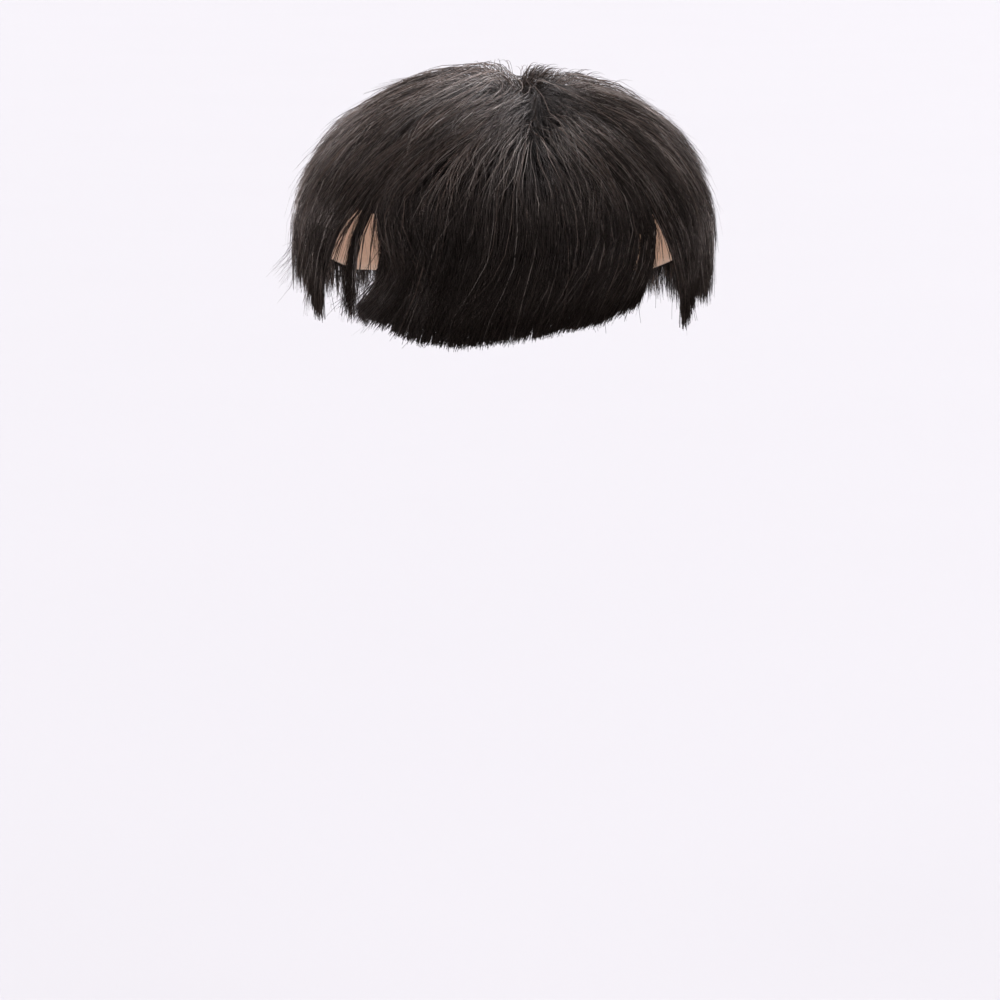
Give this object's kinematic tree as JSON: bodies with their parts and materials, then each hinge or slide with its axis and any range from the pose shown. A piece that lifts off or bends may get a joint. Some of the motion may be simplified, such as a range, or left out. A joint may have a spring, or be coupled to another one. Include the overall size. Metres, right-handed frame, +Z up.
{
  "type": "hairpiece",
  "caption": "Short layered toupee: a thin domed base carries a straight fringe, side and back hair and a crown whorl, and is worn over the top of a head.",
  "frame": {"origin": "on the inside of the base at the top of its hollow, where it sits on the crown of the wearer's head", "axes": "+Z up, -Y towards the face side, +X towards the wearer's left"},
  "size_m": [0.1556, 0.2096, 0.0981],
  "materials": {
    "base_mesh": "matt skin-toned mesh",
    "hair": "soft gloss natural black strands"
  },
  "bodies": {
    "root": {"base": "base_mesh", "fringe": "hair", "side_hair_right": "hair", "side_hair_left": "hair", "back_hair": "hair", "crown_hair": "hair"}
  },
  "joints": []
}
